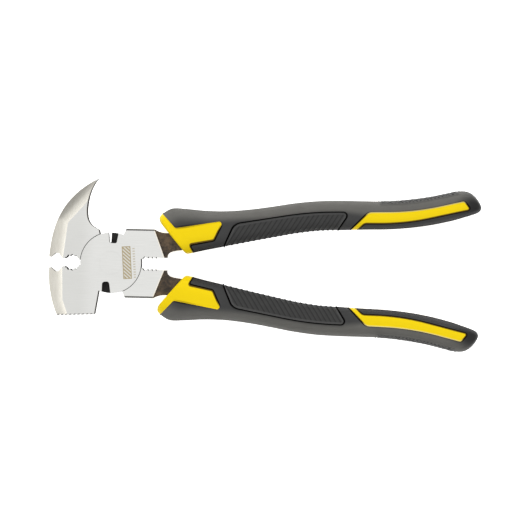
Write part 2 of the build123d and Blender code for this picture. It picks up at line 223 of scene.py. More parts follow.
# Colours, linear.
YELLOW = ((0.77, 0.555, 0.0005, 1), (0.81, 0.60, 0.001, 1))
YELLOW_SEAM_SHADE = (0.10, 0.06, 0.004, 1)
YELLOW_SEAM_HIGHLIGHT = (0.92, 0.78, 0.26, 1)
# the finger side's grey, then the palm side's grey with painted light on it
GREY_FINGER = ((0.026, 0.026, 0.026, 1), (0.038, 0.038, 0.038, 1))
GREY_PALM_LIT = ((0.084, 0.082, 0.074, 1), (0.116, 0.113, 0.104, 1))
GREY_HEEL = (0.004, 0.004, 0.004, 1)
GREY_INNER_SHADE = (0.012, 0.012, 0.012, 1)
SEAM_SHADE_BLACK = (0.0008, 0.0008, 0.0008, 1)
PAD_BLACK = ((0.024, 0.024, 0.024, 1), (0.036, 0.036, 0.035, 1))
PAD_GROOVE_SHADE = (0.002, 0.002, 0.002, 1)
PAD_LIP_HIGHLIGHT = (0.056, 0.056, 0.055, 1)
STRIP_GREY = ((0.045, 0.044, 0.042, 1), (0.10, 0.098, 0.092, 1))
STRIP_CUT_SHADE = (0.003, 0.003, 0.003, 1)
STEEL = ((0.58, 0.58, 0.56, 1), (0.86, 0.86, 0.84, 1))
STEEL_NOSE = (0.50, 0.50, 0.47, 1)
STEEL_NOSE_REFLECTION = ((0.68, 0.652, 0.575, 1), (0.80, 0.778, 0.71, 1))
STEEL_SKIN_AND_SHADE = ((0.045, 0.042, 0.038, 1), (0.10, 0.096, 0.088, 1))
STEEL_MILLED = (0.72, 0.71, 0.68, 1)
STEEL_BEVEL_SHADE = (0.06, 0.057, 0.053, 1)
STEEL_BACK_EDGE_HIGHLIGHT = (0.95, 0.88, 0.76, 1)
STEEL_WEAR_AND_GLINT = (0.84, 0.82, 0.77, 1)
OXIDE = ((0.018, 0.012, 0.007, 1), (0.115, 0.074, 0.040, 1))
OXIDE_AND_SHADE_BLACK = (0.006, 0.005, 0.004, 1)
ETCH = (0.47, 0.38, 0.20, 1)


# ---- the grip's smooth surface -----------------------------------------------------------
def catmull_rom(points, values):
    """Smooth interpolation of station rows at these parameter values, by row index."""
    points = np.asarray(points, float)
    padded = np.vstack([2 * points[0] - points[1], points, 2 * points[-1] - points[-2]])
    values = np.clip(values, 0, len(points) - 1 - 1e-9)
    i = values.astype(int)
    t = (values - i)[:, None]
    p0, p1, p2, p3 = padded[i], padded[i + 1], padded[i + 2], padded[i + 3]
    return 0.5 * (2 * p1 + (p2 - p0) * t + (2 * p0 - 5 * p1 + 4 * p2 - p3) * t**2
                  + (3 * p1 - p0 - 3 * p2 + p3) * t**3)


class GripSurface:
    """The grip as a surface over an unrolled sheet.

    u runs along the grip in mm and v round it: v = 0 is the inner edge, +v the front face, and
    v = +-HALF_ROUND the outer edge. u below 0 is the nose's end face and u above length the tail's.
    """

    def __init__(self):
        fine = catmull_rom(GRIP_STATIONS, np.linspace(0, len(GRIP_STATIONS) - 1, STATION_SAMPLES))
        middle = (fine[:, 0:2] + fine[:, 2:4]) / 2
        steps = np.hypot(*np.diff(middle, axis=0).T)
        self.along = np.concatenate([[0], np.cumsum(steps)])
        self.rows = fine
        self.length = self.along[-1]
        angle = np.linspace(0, math.pi, SECTION_SAMPLES)
        power = 2 / SECTION_POWER
        across = -np.sign(np.cos(angle)) * np.abs(np.cos(angle)) ** power
        up = np.abs(np.sin(angle)) ** power
        half_width, half_height = SECTION_HALF
        pieces = np.hypot(np.diff(across) * half_width, np.diff(up) * half_height)
        way = np.concatenate([[0], np.cumsum(pieces)])
        self.way, self.across, self.up = way / way[-1], across, up

    def station(self, u):
        """Inner edge, outer edge and thickness at u."""
        u = np.clip(u, 0, self.length)
        row = [np.interp(u, self.along, self.rows[:, k]) for k in range(5)]
        return np.stack(row[0:2], -1), np.stack(row[2:4], -1), row[4]

    def centre(self, u):
        """Points on the grip's middle line."""
        inner, outer, _ = self.station(u)
        middle = (inner + outer) / 2
        return np.column_stack([middle, np.full(len(middle), MID_Z)])

    def point(self, u, v):
        """Surface points in mm."""
        inner, outer, thickness = self.station(u)
        middle, half = (inner + outer) / 2, (outer - inner) / 2
        width = np.hypot(*half.T)
        nose = np.clip(u, 0, NOSE_ROUND)
        inset = NOSE_ROUND - np.sqrt(NOSE_ROUND**2 - (NOSE_ROUND - nose) ** 2)
        from_tail = np.clip(self.length - u, 0, TAIL_ROUND)
        drop = TAIL_ROUND - np.sqrt(TAIL_ROUND**2 - (TAIL_ROUND - from_tail) ** 2)
        wide = (width - inset) / np.maximum(width, 1e-6)
        tall = thickness / 2 - inset - drop
        shrink = np.clip(1 + u / CAP, 0, 1) * np.clip(1 - (u - self.length) / TAIL_CAP, 0, 1)
        fraction = np.abs(v) / HALF_ROUND
        across = np.interp(fraction, self.way, self.across) * wide * shrink
        up = np.interp(fraction, self.way, self.up) * np.sign(v) * tall * shrink
        return np.column_stack([middle + half * across[:, None], MID_Z + up])

    def normal(self, u, v, reach=0.15):
        """Unit outward normals, from differences over the reach."""
        along = self.point(u + reach, v) - self.point(u - reach, v)
        low, high = np.maximum(v - reach, -HALF_ROUND), np.minimum(v + reach, HALF_ROUND)
        around = self.point(u, high) - self.point(u, low)
        n = np.cross(around, along)
        return n / np.maximum(np.linalg.norm(n, axis=1), 1e-9)[:, None]

    def inside(self, u, v):
        """The shell's inner surface: surface points drawn towards the grip's middle."""
        points = self.point(u, v)
        target = self.centre(np.clip(u, SHELL_END, self.length - SHELL_END))
        return points + SHELL * (target - points)

    def unroll(self, plan):
        """(u, v) on the front face of plan points (x, y), by Newton steps from a coarse grid."""
        plan = np.asarray(plan, float)
        spacing, rows = UNROLL_GRID
        coarse_u = np.arange(0.5, self.length, spacing)
        coarse_v = np.linspace(0.3, HALF_ROUND - 0.3, rows)
        gu, gv = (grid.ravel() for grid in np.meshgrid(coarse_u, coarse_v))
        grid = self.point(gu, gv)[:, :2]
        nearest = [int(np.argmin(((grid - p) ** 2).sum(1))) for p in plan]
        u, v = gu[nearest], gv[nearest]
        for _ in range(UNROLL_STEPS):
            here = self.point(u, v)[:, :2]
            du = (self.point(u + UNROLL_NUDGE, v)[:, :2] - here) / UNROLL_NUDGE
            dv = (self.point(u, v + UNROLL_NUDGE)[:, :2] - here) / UNROLL_NUDGE
            det = du[:, 0] * dv[:, 1] - du[:, 1] * dv[:, 0]
            det = np.where(np.abs(det) < 1e-3, 1e-3, det)
            miss = plan - here
            step_u = (miss[:, 0] * dv[:, 1] - miss[:, 1] * dv[:, 0]) / det
            step_v = (du[:, 0] * miss[:, 1] - du[:, 1] * miss[:, 0]) / det
            u = np.clip(u + np.clip(step_u, -1, 1), 0.2, self.length - 0.2)
            v = np.clip(v + np.clip(step_v, -1, 1), 0.0, HALF_ROUND)
        return np.column_stack([u, v])


# ---- plan outlines of the colour regions, for the +Y handle ---------------------------------
def rounded_polygon(corners, spacing=SEAM_STEP):
    """Points round a polygon of (x, y, radius) corners, closed, at about this spacing."""
    corners = [np.array(c, float) for c in corners]
    walk = []
    for i, corner in enumerate(corners):
        here, radius = corner[:2], corner[2]
        back = corners[i - 1][:2] - here
        ahead = corners[(i + 1) % len(corners)][:2] - here
        back, ahead = back / np.linalg.norm(back), ahead / np.linalg.norm(ahead)
        if radius == 0:
            walk.append([here])
            continue
        half_angle = math.acos(np.clip(back @ ahead, -1, 1)) / 2
        middle = (back + ahead) / np.linalg.norm(back + ahead)
        centre = here + middle * radius / math.sin(half_angle)
        sweep = math.pi - 2 * half_angle
        start = here + back * radius / math.tan(half_angle) - centre
        turn = -math.copysign(1, back[0] * ahead[1] - back[1] * ahead[0])
        count = max(3, int(radius * sweep / spacing))
        angles = turn * np.linspace(0, sweep, count + 1)
        arc_x = start[0] * np.cos(angles) - start[1] * np.sin(angles)
        arc_y = start[0] * np.sin(angles) + start[1] * np.cos(angles)
        walk.append(list(centre + np.column_stack([arc_x, arc_y])))
    points = []
    for run, following in zip(walk, walk[1:] + walk[:1]):
        points += run
        gap = following[0] - run[-1]
        count = max(1, int(np.linalg.norm(gap) / spacing))
        points += [run[-1] + gap * k / count for k in range(1, count)]
    return np.array(points)


FLAG = rounded_polygon([(26.2, 36.0, 0), (39.1, 22.2, 1.6), (68.4, 27.3, 1.5),
                        (62.9, 15.4, 1.8), (47.8, 12.3, 1.2), (52.3, 4.5, 0), (20, 4.5, 0)])
WINDOW = rounded_polygon([(143.9, 21.2, 0), (157.4, 34.9, 5), (185.5, 35.7, 160),
                          (215.8, 43.1, 2), (220.0, 38.1, 1.2), (179.4, 28.4, 150),
                          (155.1, 28.0, 3.5), (147.9, 21.2, 0)])
PAD = rounded_polygon([(67.5, 8.0, 0), (75.4, 25.8, 7), (121.5, 34.1, 200),
                       (145.8, 34.7, 2.2), (136.8, 20.4, 0)])
STRIP = rounded_polygon([(164.0, 39.4, 1.0), (184.5, 40.4, 120), (212.5, 47.0, 1.0),
                         (213.5, 54.0, 0), (163.0, 54.0, 0)])


def in_polygon(points, polygon):
    """Which plan points lie inside the polygon."""
    x, y = points[:, 0][:, None], points[:, 1][:, None]
    x1, y1 = polygon[:, 0], polygon[:, 1]
    x2, y2 = np.roll(x1, -1), np.roll(y1, -1)
    spans = (y1 > y) != (y2 > y)
    rise = np.where(y2 == y1, 1e-12, y2 - y1)
    return (np.sum(spans & (x < (x2 - x1) * (y - y1) / rise + x1), axis=1) % 2) == 1


def kept_stretches(polygon, keep):
    """The closed polygon's unbroken stretches of kept points."""
    start = int(np.argmin(keep)) if not keep.all() else 0
    runs, run = [], []
    for k in range(len(polygon)):
        j = (start + k) % len(polygon)
        if keep[j]:
            run.append(polygon[j])
        elif run:
            runs.append(np.array(run))
            run = []
    if run:
        runs.append(np.array(run))
    return runs


def way_to_edge(end):
    """Points that carry a seam's end on to the nearer edge of the front face."""
    u, v = end
    edge = 0.0 if v < HALF_ROUND / 2 else HALF_ROUND
    count = max(2, int(abs(v - edge) / SEAM_STEP))
    return [(u, v + (edge - v) * t / count) for t in range(1, count + 1)]


def seam_runs(surface, polygon):
    """The outline's stretches on the unrolled front face, each carried to the edge."""
    inner, outer, _ = surface.station(np.linspace(0, surface.length, SILHOUETTE_SAMPLES))
    silhouette = np.vstack([inner, outer[::-1]])
    runs = []
    for stretch in kept_stretches(polygon, in_polygon(polygon, silhouette)):
        sheet = surface.unroll(stretch)
        runs.append(np.vstack([way_to_edge(sheet[0])[::-1], sheet, way_to_edge(sheet[-1])]))
    return runs


def distance_to(points, runs):
    """Distance in the sheet from points to the nearest seam."""
    best = np.full(len(points), 1e9)
    for run in runs:
        a, b = run[:-1], run[1:]
        d = b - a
        length2 = np.maximum((d**2).sum(1), 1e-12)
        for lo in range(0, len(points), CHUNK):
            p = points[lo:lo + CHUNK, None, :]
            t = np.clip(((p - a) * d).sum(2) / length2, 0, 1)
            near = np.sqrt((((a + t[..., None] * d) - p) ** 2).sum(2)).min(1)
            best[lo:lo + CHUNK] = np.minimum(best[lo:lo + CHUNK], near)
    return best


def plain_grid(surface, every):
    """Grid points over the unrolled grip, cleared away from the seams."""
    nose_turn = np.linspace(0, math.pi / 2, NOSE_ROWS)
    tail_turn = np.linspace(math.pi / 2, 0, TAIL_ROWS)
    us = np.concatenate([
        np.linspace(-CAP, -0.001, CAP_ROWS),
        NOSE_ROUND * (1 - np.cos(nose_turn)),
        np.arange(NOSE_ROUND + STEP, surface.length - TAIL_ZONE, STEP),
        surface.length - TAIL_ROUND * (1 - np.cos(tail_turn)),
        [surface.length + TAIL_CAP],
    ])
    vs = np.linspace(-HALF_ROUND, HALF_ROUND, 2 * int(HALF_ROUND / STEP) + 1)
    grid = np.column_stack([part.ravel() for part in np.meshgrid(us, vs, indexing="ij")])
    rim = np.abs(np.abs(grid[:, 1]) - HALF_ROUND) < 1e-9
    rim |= (grid[:, 0] <= us[0] + 1e-9) | (grid[:, 0] >= us[-1] - 1e-9)
    away = distance_to(grid, every)
    return grid[(away > SEAM_CLEAR) | (rim & (away > RIM_CLEAR))]


def seam_rings(every):
    """Points in rows beside each seam, close together where its rounded edge needs them."""
    rows = []
    for run in every:
        tangent = np.gradient(run, axis=0)
        tangent /= np.maximum(np.linalg.norm(tangent, axis=1), 1e-9)[:, None]
        side = np.column_stack([-tangent[:, 1], tangent[:, 0]])
        for reach in SEAM_RINGS:
            for sign in (1, -1):
                points = run + side * reach * sign
                ok = np.abs(points[:, 1]) <= HALF_ROUND - 0.02
                ok &= distance_to(points, every) > RING_SHARE * reach
                rows.append(points[ok])
    return rows


def grip_sheet(surface):
    """Triangulates the unrolled grip with every seam as an edge.

    Returns its points, its triangles, and the seams by name.
    """
    seams = {}
    for name, polygon in (("flag", FLAG), ("window", WINDOW), ("pad", PAD), ("strip", STRIP)):
        front = seam_runs(surface, polygon)
        seams[name] = front + [run * (1, -1) for run in front]
    every = [run for runs in seams.values() for run in runs]
    points = [plain_grid(surface, every)] + seam_rings(every)
    edges = []
    base = sum(len(p) for p in points)
    for run in every:
        run = run.copy()
        run[:, 1] = np.clip(run[:, 1], -HALF_ROUND, HALF_ROUND)
        edges += [(base + k, base + k + 1) for k in range(len(run) - 1)]
        points.append(run)
        base += len(run)
    flat = np.vstack(points)
    result = delaunay_2d_cdt([Vector(p) for p in flat], edges, [], 0, 1e-4)
    sheet = np.array([tuple(p) for p in result[0]])
    triangles = np.array([f for f in result[2] if len(f) == 3])
    return sheet, triangles, seams


# ---- meshes ----------------------------------------------------------------------------------
def stand(name, data):
    """A new object in the scene that holds this mesh, light or camera."""
    obj = bpy.data.objects.new(name, data)
    bpy.context.scene.collection.objects.link(obj)
    return obj


def make_object(name, vertices, faces):
    """A mesh object from mm vertices."""
    mesh = bpy.data.meshes.new(name)
    corners = [tuple(v) for v in np.asarray(vertices) * MM]
    mesh.from_pydata(corners, [], [tuple(map(int, f)) for f in faces])
    mesh.polygons.foreach_set("use_smooth", [True] * len(mesh.polygons))
    return stand(name, mesh)


def weld(obj):
    """Merges doubled points, drops flat faces and marks the sharp edges."""
    bm = bmesh.new()
    bm.from_mesh(obj.data)
    bmesh.ops.remove_doubles(bm, verts=bm.verts, dist=WELD_GAP * MM)
    bmesh.ops.dissolve_degenerate(bm, edges=bm.edges, dist=THIN_FACE * MM)
    bmesh.ops.recalc_face_normals(bm, faces=bm.faces)
    bm.to_mesh(obj.data)
    bm.free()
    obj.data.set_sharp_from_angle(angle=SHARP_ANGLE)


def directed_edges(triangles):
    """Every side of the triangles, in their winding's direction."""
    return {(t[k], t[k - 2]) for t in triangles.tolist() for k in range(3)}


def shell_mesh(name, outer, inner, triangles, chosen, fill=False):
    """A closed piece over the chosen triangles: outer skin, inner skin and walls.

    With fill, the piece is the whole grip's inside, and stands up to the outer skin only where
    chosen.
    """
    count = len(outer)
    mine, rest = triangles[chosen], triangles[~chosen]
    across = directed_edges(rest)
    walls = [(a, b) for a, b in directed_edges(mine) if (b, a) in across]
    faces = [tuple(t) for t in mine]
    if fill:
        faces += [tuple(t + count) for t in rest]
    else:
        faces += [tuple(t[::-1] + count) for t in mine]
    faces += [(b, a, a + count, b + count) for a, b in walls]
    used = np.unique(np.concatenate([np.ravel(f) for f in faces]))
    remap = np.full(2 * count, -1)
    remap[used] = np.arange(len(used))
    vertices = np.vstack([outer, inner])[used]
    obj = make_object(name, vertices, [tuple(remap[list(f)]) for f in faces])
    return obj, used


def rib_grooves(plan):
    """1 in the grooves between the finger pad's slanted ribs, 0 on the ribs."""
    phase = ((plan[:, 0] - RIB_SHIFT - RIB_LEAN * plan[:, 1]) / RIB_PITCH) % 1.0
    return np.exp(-(((phase - 0.5) * RIB_PITCH / RIB_GROOVE) ** 2))


def cross_cuts(x, z):
    """1 in the palm strip's crossed cuts, 0 on the studs between them."""
    one = np.abs(np.sin(math.pi * (x + z) / CUT_PITCH))
    other = np.abs(np.sin(math.pi * (x - z) / CUT_PITCH))
    return np.clip(1 - CUT_FLANK * np.minimum(one, other), 0, 1)


def rounded_edge(distance, radius):
    """How far a skin drops as it nears a seam, for a rounded edge."""
    t = np.clip(distance, 0, radius)
    return radius - np.sqrt(radius**2 - (radius - t) ** 2)


def grip_regions(sheet, triangles, surface):
    """Which triangles each moulded piece shows, by piece."""
    middle = sheet[triangles].mean(1)
    plan = surface.point(*middle.T)[:, :2]
    on_nose_end = middle[:, 0] < 0
    yellow = in_polygon(plan, FLAG) | on_nose_end | in_polygon(plan, WINDOW)
    pad = in_polygon(plan, PAD) & ~yellow
    strip = in_polygon(plan, STRIP) & ~yellow & ~pad
    body = ~(yellow | pad | strip)
    return {"grip_core": yellow, "grip_body": body, "finger_pad": pad, "palm_strip": strip}


def grip_paints():
    """Each moulded piece's material, and the record's material slot it stands for."""
    return {
        "grip_core": (yellow_plastic(), "yellow_core"),
        "grip_body": (grey_rubber(), "grey_overmould"),
        "finger_pad": (pad_rubber(), "black_pad"),
        "palm_strip": (strip_rubber(), "palm_texture"),
    }


def set_shades(obj, shades, used):
    """Stores the values that the materials read at each point, for the outer and inner skins."""
    for attribute, values in shades.items():
        layer = obj.data.attributes.new(attribute, "FLOAT", "POINT")
        both_skins = np.concatenate([values, values])
        layer.data.foreach_set("value", both_skins[used].astype(np.float32))


def build_grips():
    """All the moulded pieces, upper and lower."""
    surface = GripSurface()
    sheet, triangles, seams = grip_sheet(surface)
    u, v = sheet.T
    base = surface.point(u, v)
    normal = surface.normal(u, v)
    inner = surface.inside(u, v)
    regions = grip_regions(sheet, triangles, surface)
    near = distance_to(sheet, [run for runs in seams.values() for run in runs])
    near_pad = distance_to(sheet, seams["pad"])
    drop = rounded_edge(near, EDGE_ROUND) + rounded_edge(near_pad, PAD_EDGE_ROUND)
    on_ribs = np.clip((near_pad - RIB_MARGIN) / RIB_FADE, 0, 1)
    rib_valley = on_ribs * rib_grooves(base[:, :2])
    on_cuts = np.clip((near - CUT_MARGIN) / CUT_FADE, 0, 1)
    cut_valley = on_cuts * cross_cuts(base[:, 0], base[:, 2])
    heights = {
        "grip_core": -drop,
        "grip_body": -drop,
        "finger_pad": PAD_PROUD - drop - RIB_DEPTH * rib_valley,
        "palm_strip": -drop - CUT_DEPTH * cut_valley,
    }
    shades = {
        "seam": np.exp(-near / SEAM_FADE),
        "pad_seam": np.exp(-near_pad / SEAM_FADE),
        "around": np.abs(v) / HALF_ROUND,
        "valley": np.where(in_polygon(base[:, :2], STRIP), cut_valley, rib_valley),
    }
    paints = grip_paints()
    for name, chosen in regions.items():
        outer = base + normal * heights[name][:, None]
        paint, slot = paints[name]
        for side, body_name, mirror in (("upper", "hammer_side", 1), ("lower", "claw_side", -1)):
            flip = np.array([1, mirror, 1])
            wound = triangles if mirror == 1 else triangles[:, ::-1]
            obj, used = shell_mesh(f"{side}_{name}_moulded", outer * flip, inner * flip, wound,
                                   chosen, fill=(name == "grip_core"))
            set_shades(obj, shades, used)
            weld(obj)
            obj.data.materials.append(paint)
            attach(obj, body_name)
            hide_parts(f"{side}_{name}")


# ---- materials ---------------------------------------------------------------------------------
class Nodes:
    """A short way to build a node tree."""

    def __init__(self, tree):
        self.tree = tree

    def node(self, kind, **settings):
        """A new node with these settings."""
        made = self.tree.nodes.new(kind)
        for key, value in settings.items():
            setattr(made, key, value)
        return made

    def feed(self, socket, value):
        """Links an output to the socket, or sets a plain value. None leaves it alone."""
        if isinstance(value, bpy.types.NodeSocket):
            self.tree.links.new(value, socket)
        elif value is not None:
            socket.default_value = value

    def math(self, operation, a, b=None):
        """One arithmetic operation."""
        made = self.node("ShaderNodeMath", operation=operation)
        self.feed(made.inputs[0], a)
        self.feed(made.inputs[1], b)
        return made.outputs[0]

    def plus(self, a, b):
        return self.math("ADD", a, b)

    def minus(self, a, b):
        return self.math("SUBTRACT", a, b)

    def times(self, a, b):
        return self.math("MULTIPLY", a, b)

    def greater(self, a, b):
        return self.math("MAXIMUM", a, b)

    def unsigned(self, a):
        return self.math("ABSOLUTE", a)

    def wave(self, run, pitch):
        """A sine of the run, from -1 to 1 and back once every pitch."""
        return self.math("SINE", self.times(run, 2 * math.pi / pitch))

    def phase(self, run, pitch):
        """How far the run is through its present pitch, from 0 to 1."""
        return self.math("FRACT", self.math("DIVIDE", run, pitch))

    def step(self, value, low, high):
        """0 below low, 1 above high, smooth between. With low above high it falls instead."""
        made = self.node("ShaderNodeMapRange", interpolation_type="SMOOTHSTEP")
        self.feed(made.inputs["Value"], value)
        made.inputs["From Min"].default_value = low
        made.inputs["From Max"].default_value = high
        return made.outputs[0]

    def mix(self, share, a, b):
        """Colour a where share is 0, colour b where it is 1."""
        made = self.node("ShaderNodeMix", data_type="RGBA")
        self.feed(made.inputs["Factor"], share)
        self.feed(made.inputs[6], a)
        self.feed(made.inputs[7], b)
        return made.outputs[2]

    def blend(self, share, a, b):
        """Number a where share is 0, number b where it is 1."""
        made = self.node("ShaderNodeMix", data_type="FLOAT")
        self.feed(made.inputs[0], share)
        self.feed(made.inputs[2], a)
        self.feed(made.inputs[3], b)
        return made.outputs[0]

    def split(self, vector):
        """The vector's x, y and z."""
        made = self.node("ShaderNodeSeparateXYZ")
        self.feed(made.inputs[0], vector)
        return made.outputs

    def dot(self, a, b):
        """How nearly two directions agree, 1 when they are the same."""
        made = self.node("ShaderNodeVectorMath", operation="DOT_PRODUCT")
        self.feed(made.inputs[0], a)
        self.feed(made.inputs[1], b)
        return made.outputs["Value"]


class Paint(Nodes):
    """A new material on the Principled shader."""

    def __init__(self, name):
        self.material = bpy.data.materials.new(name)
        self.material.use_nodes = True
        super().__init__(self.material.node_tree)
        self.shader = self.tree.nodes["Principled BSDF"]

    def place(self, scale=(1, 1, 1)):
        """Rest position in mm, stretched by the scale."""
        coords = self.node("ShaderNodeTexCoord")
        made = self.node("ShaderNodeMapping")
        self.feed(made.inputs["Vector"], coords.outputs["Object"])
        made.inputs["Scale"].default_value = [s / MM for s in scale]
        return made.outputs[0]

    def noise(self, scale, detail=3.0, stretch=(1, 1, 1), roughness=0.5):
        """Cloudy noise from 0 to 1, scale times to the mm."""
        made = self.node("ShaderNodeTexNoise")
        self.feed(made.inputs["Vector"], self.place(stretch))
        made.inputs["Scale"].default_value = scale
        made.inputs["Detail"].default_value = detail
        made.inputs["Roughness"].default_value = roughness
        return made.outputs["Fac"]

    def attribute(self, name):
        """A value stored at the mesh's points by set_shades."""
        return self.node("ShaderNodeAttribute", attribute_name=name).outputs["Fac"]

    def bump(self, height, distance_mm, strength, normal=None):
        """A shading normal roughened by the height."""
        made = self.node("ShaderNodeBump")
        made.inputs["Distance"].default_value = distance_mm * MM
        made.inputs["Strength"].default_value = strength
        self.feed(made.inputs["Height"], height)
        self.feed(made.inputs["Normal"], normal)
        return made.outputs[0]

    def soft_edges(self, radius_mm):
        """A shading normal rounded over every edge."""
        made = self.node("ShaderNodeBevel")
        made.samples = 6
        made.inputs["Radius"].default_value = radius_mm * MM
        return made.outputs[0]

    def edge_wear_and_glint(self, radius_mm):
        """1 along sharp edges, where wear and a painted glint show, fading to 0 within the radius,
        broken up by noise.
        """
        true_normal = self.node("ShaderNodeNewGeometry").outputs["Normal"]
        worn = self.step(self.dot(self.soft_edges(radius_mm), true_normal), *WEAR_AND_GLINT_BEND)
        return self.times(worn, self.step(self.noise(1.1), 0.3, 0.6))

    def rubber_shine(self, groove):
        """Specular level of the grips' rubber: none towards the edges or where groove is 1."""
        off_middle = self.unsigned(self.minus(self.attribute("around"), 0.5))
        shine = self.blend(self.step(off_middle, *OFF_MIDDLE), RUBBER_SHINE, 0.0)
        return self.blend(groove, shine, 0.0)

    def finish(self, colour, roughness, metallic=0.0, normal=None, **more):
        """Feeds the shader and returns the material. Other inputs go by name, with _ for spaces."""
        self.feed(self.shader.inputs["Base Color"], colour)
        self.feed(self.shader.inputs["Roughness"], roughness)
        self.feed(self.shader.inputs["Metallic"], metallic)
        self.feed(self.shader.inputs["Normal"], normal)
        for key, value in more.items():
            self.feed(self.shader.inputs[key.replace("_", " ")], value)
        return self.material

    def finish_rubber(self, colour, grain, rough, shine):
        """A matt finish whose grain varies the roughness over the given range."""
        return self.finish(colour, self.blend(grain, *rough), normal=self.bump(grain, 0.05, 0.6),
                           Specular_IOR_Level=shine)


def yellow_plastic():
    """Satin moulded yellow, with painted shade along the finger side's seams.

    The tail window's palm side has a painted highlight along its seam.
    """
    p = Paint("yellow_moulding")
    plain = p.mix(p.noise(0.05, 2), *YELLOW)
    in_window = p.step(p.split(p.place())[0], *WINDOW_FROM)
    # painted highlight along the tail window's seam on the palm side, and painted shade along the
    # finger side's seams
    palm_highlight = p.mix(in_window, plain, YELLOW_SEAM_HIGHLIGHT)
    trim = p.mix(p.step(p.attribute("around"), *PALM_TRIM), YELLOW_SEAM_SHADE, palm_highlight)
    colour = p.mix(p.step(p.attribute("seam"), *TRIM_LINE), plain, trim)
    grain = p.noise(2.2)
    return p.finish(colour, p.blend(grain, *YELLOW_ROUGH), normal=p.bump(grain, 0.02, 0.5),
                    Specular_IOR_Level=YELLOW_SHINE)


def grey_rubber():
    """Soft dark grey overmould, with painted light on the palm side, painted shade in the seam
    grooves and along the inner edge, and darkest at the heel.

    The painted light widens from the neck towards the tail.
    """
    p = Paint("grey_overmould")
    x = p.split(p.place())[0]
    around = p.attribute("around")
    reach = around
    for start, end, share in PALM_WIDER:
        reach = p.plus(reach, p.blend(p.step(x, start, end), 0.0, share))
    # painted light: the palm side is painted paler, as if lit
    palm = p.times(p.step(reach, *PALM_SIDE), p.step(x, *PALM_ENDS))
    mottle = p.noise(0.12, 4, roughness=0.6)
    colour = p.mix(palm, p.mix(mottle, *GREY_FINGER), p.mix(mottle, *GREY_PALM_LIT))
    heel = p.times(p.step(x, *HEEL_DARK), p.step(around, *HEEL_SIDE))
    colour = p.mix(p.times(heel, 0.9), colour, GREY_HEEL)
    # painted shade in the seam grooves, on the finger side and all round the pad
    groove = p.times(p.step(around, *FINGER_SIDE), p.step(p.attribute("seam"), *SEAM_LINE))
    groove = p.greater(groove, p.step(p.attribute("pad_seam"), *PAD_BORDER))
    colour = p.mix(groove, colour, SEAM_SHADE_BLACK)
    # painted shade along the grip's inner edge
    colour = p.mix(p.step(around, *INNER_EDGE), colour, GREY_INNER_SHADE)
    return p.finish_rubber(colour, p.noise(3.0, 4, roughness=0.6), BODY_ROUGH,
                           p.rubber_shine(groove))


def pad_rubber():
    """Black ribbed inlay with painted shade in the grooves between the ribs and along its border,
    and a painted highlight on its lip.
    """
    p = Paint("black_pad")
    colour = p.mix(p.noise(0.3), *PAD_BLACK)
    x, y, _ = p.split(p.place())
    run = p.minus(p.minus(x, RIB_SHIFT), p.times(p.unsigned(y), RIB_LEAN))
    off_groove = p.unsigned(p.minus(p.phase(run, RIB_PITCH), 0.5))
    groove = p.times(p.step(off_groove, *RIB_LINE), 0.65)
    near = p.attribute("pad_seam")
    # painted shade in the grooves between the ribs
    colour = p.mix(p.times(groove, p.step(near, *RIB_END)), colour, PAD_GROOVE_SHADE)
    # painted highlight on the pad's lip
    colour = p.mix(p.step(near, *PAD_LIP_SHEEN), colour, PAD_LIP_HIGHLIGHT)
    # painted shade in the groove round the pad's border
    border = p.step(near, *PAD_BORDER)
    colour = p.mix(border, colour, SEAM_SHADE_BLACK)
    return p.finish_rubber(colour, p.noise(3.5, 4, roughness=0.6), PAD_ROUGH,
                           p.rubber_shine(border))


def strip_rubber():
    """Cross-cut palm strip, with painted shade in its cuts."""
    p = Paint("palm_strip_rubber")
    colour = p.mix(p.noise(0.9), *STRIP_GREY)
    colour = p.mix(p.step(p.attribute("valley"), *CUT_DARK), colour, STRIP_CUT_SHADE)
    return p.finish_rubber(colour, p.noise(3.5, 4), STRIP_ROUGH, RUBBER_SHINE)


def brush_marks(p):
    """Fine grind marks that run along the tool."""
    fine = p.noise(1.0, 4, stretch=(0.09, 3.2, 1), roughness=0.7)
    broad = p.noise(0.06, 2, stretch=(0.4, 1, 1))
    return p.blend(0.3, fine, broad)


